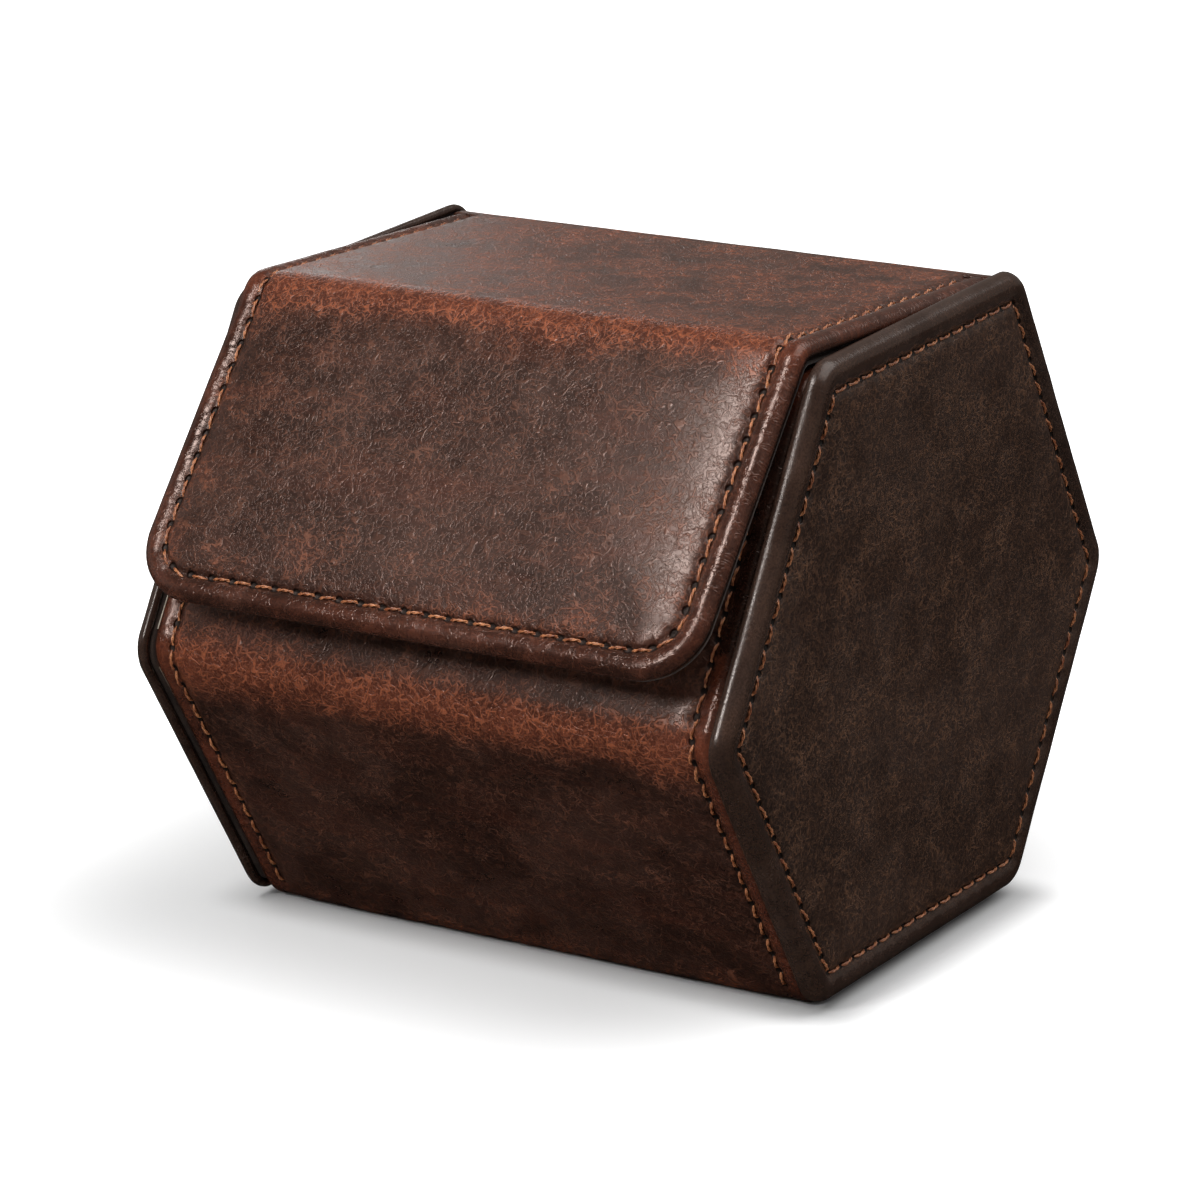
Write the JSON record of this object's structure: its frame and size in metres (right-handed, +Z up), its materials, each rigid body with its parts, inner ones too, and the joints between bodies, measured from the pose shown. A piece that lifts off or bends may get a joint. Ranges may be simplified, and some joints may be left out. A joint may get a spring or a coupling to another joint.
{
  "type": "pocket watch display box",
  "caption": "Hexagonal leather box with stitched end panels, a two-part folding flap over the top and front, a magnetic closure and a tilted cushion with a round nest for a pocket watch.",
  "frame": {"origin": "centre of the base, on the surface that the box stands on", "axes": "+X along the box from one end panel to the other, +Y towards the hinge at the back (the flap opens on the -Y side), +Z up"},
  "size_m": [0.0936, 0.1115, 0.0906],
  "materials": {
    "brown_leather": "pull-up leather, satin, darker in the fields and redder along the creases",
    "dark_leather": "smooth dark grey-brown leather, satin",
    "thread": "waxed copper-tan thread",
    "board": "dense grey board",
    "foam": "soft upholstery foam",
    "lining": "dark suede cloth",
    "velvet": "short-pile brown velvet",
    "magnet": "nickel plated disc"
  },
  "bodies": {
    "case": {"wrap_leather": "brown_leather", "bottom_board": "board", "lower_front_board": "board", "lip_board": "board", "left_rim_board": "board", "right_rim_board": "board", "hinge_board": "board", "upper_back_board": "board", "lower_back_board": "board", "body_lining": "lining", "lip_magnets": "magnet", "hinge_leather": "brown_leather", "left_body_stitching": "thread", "right_body_stitching": "thread", "left_panel_leather": "dark_leather", "left_panel_board": "board", "left_panel_lining": "lining", "left_panel_stitching": "thread", "right_panel_leather": "dark_leather", "right_panel_board": "board", "right_panel_lining": "lining", "right_panel_stitching": "thread", "cushion_base": "foam", "cushion_ring": "foam", "cushion_cover": "velvet", "nest_cup": "velvet"},
    "flap_top": {"flap_top_leather": "brown_leather", "flap_top_board": "board", "flap_top_lining": "lining", "flap_top_stitching": "thread", "fold_leather": "brown_leather"},
    "flap_front": {"flap_front_leather": "brown_leather", "flap_front_foam": "foam", "flap_front_board": "board", "flap_front_lining": "lining", "flap_front_stitching": "thread", "flap_magnets": "magnet"}
  },
  "joints": [
    {"name": "flap_hinge", "type": "hinge", "parent": "case", "child": "flap_top", "pos_m": [0, 0.02527, 0.08867], "axis": [-1, 0, 0], "range_deg": [0, 215]},
    {"name": "flap_fold", "type": "hinge", "parent": "flap_top", "child": "flap_front", "pos_m": [0, -0.02628, 0.08877], "axis": [-1, 0, 0], "range_deg": [0, 52]}
  ]
}
